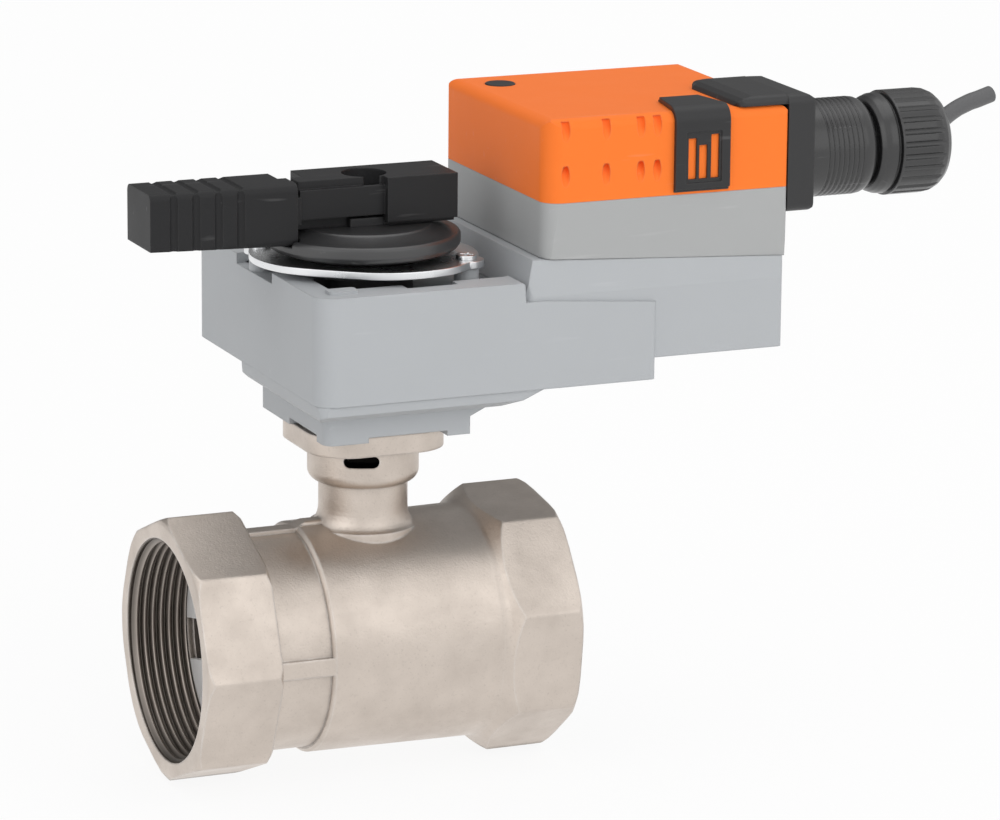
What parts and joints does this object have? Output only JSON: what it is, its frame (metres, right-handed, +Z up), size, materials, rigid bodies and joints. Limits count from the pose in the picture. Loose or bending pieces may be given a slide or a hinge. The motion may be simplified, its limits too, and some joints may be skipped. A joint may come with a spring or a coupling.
{
  "type": "motorized control valve",
  "caption": "Quarter-turn ball valve with threaded octagonal ends, driven by a rotary actuator with an orange cover, grey housing, hand lever and cable gland.",
  "frame": {"origin": "centre of the inlet thread's mouth", "axes": "+X along the pipe from inlet to outlet, +Z up along the stem, -Y towards the side with the clip"},
  "size_m": [0.2419, 0.0949, 0.1794],
  "materials": {
    "nickel": "satin nickel plate over brass, lightly cast",
    "steel": "bright zinc plate",
    "seat_polymer": "waxy white",
    "rubber": "matt",
    "housing_grey": "fine moulded grain",
    "middle_grey": "fine moulded grain",
    "orange": "satin moulded",
    "black_plastic": "satin moulded, glass filled",
    "cable_sheath": "satin sheath",
    "bearing_bronze": "sintered",
    "gear_acetal": "cut acetal",
    "board": "glass laminate",
    "terminal_grey": "moulded"
  },
  "bodies": {
    "root": {"valve_body": "nickel", "end_piece": "nickel", "seat_retainer": "nickel", "retaining_ring": "steel", "ring_screws": "steel", "base_screws": "steel", "housing_screws": "steel", "button_spring": "steel", "gear_axles": "steel", "motor": "steel", "motor_screws": "steel", "inlet_seat": "seat_polymer", "outlet_seat": "seat_polymer", "body_seal": "seat_polymer", "thrust_washer": "seat_polymer", "gland_seal": "rubber", "lower_housing": "housing_grey", "mounting_base": "housing_grey", "base_plate": "housing_grey", "middle_housing": "middle_grey", "cover": "orange", "latch_clip": "black_plastic", "connector_housing": "black_plastic", "gland_body": "black_plastic", "gland_nut": "black_plastic", "cable": "cable_sheath", "hub_bush": "bearing_bronze", "circuit_board": "board", "terminal_block": "terminal_grey"},
    "rotor": {"ball": "steel", "stem": "steel", "stem_seals": "rubber", "drive_hub": "black_plastic", "output_gear": "gear_acetal", "dial": "black_plastic", "lever": "black_plastic", "centre_screw": "steel"},
    "second_gear": {"second_gear": "gear_acetal"},
    "first_gear": {"first_gear": "gear_acetal"},
    "motor_rotor": {"motor_pinion": "bearing_bronze"},
    "button": {"release_button": "black_plastic"}
  },
  "joints": [
    {"name": "lever_turn", "type": "hinge", "parent": "root", "child": "rotor", "pos_m": [0.056, 0, 0.08], "axis": [0, 0, 1], "range_deg": [-90, 0]},
    {"name": "second_spin", "type": "hinge", "parent": "root", "child": "second_gear", "pos_m": [0.07707, 0.01768, 0.08], "axis": [0, 0, 1], "range_deg": [-5, 245]},
    {"name": "first_spin", "type": "hinge", "parent": "root", "child": "first_gear", "pos_m": [0.09387, 0.01768, 0.08], "axis": [0, 0, 1], "range_deg": [-775, 5]},
    {"name": "motor_spin", "type": "hinge", "parent": "root", "child": "motor_rotor", "pos_m": [0.10887, 0.01768, 0.08], "axis": [0, 0, 1], "range_deg": [-5, 3080]},
    {"name": "button_press", "type": "slide", "parent": "root", "child": "button", "axis": [0, 0, -1], "range_m": [0, 0.002], "stiffness_N_per_m": 300, "deforming": ["button_spring"]}
  ],
  "couplings": [
    {"joint": "second_spin", "follows": "lever_turn", "ratio": -2.6667},
    {"joint": "first_spin", "follows": "lever_turn", "ratio": 8.5333},
    {"joint": "motor_spin", "follows": "lever_turn", "ratio": -34.133}
  ]
}
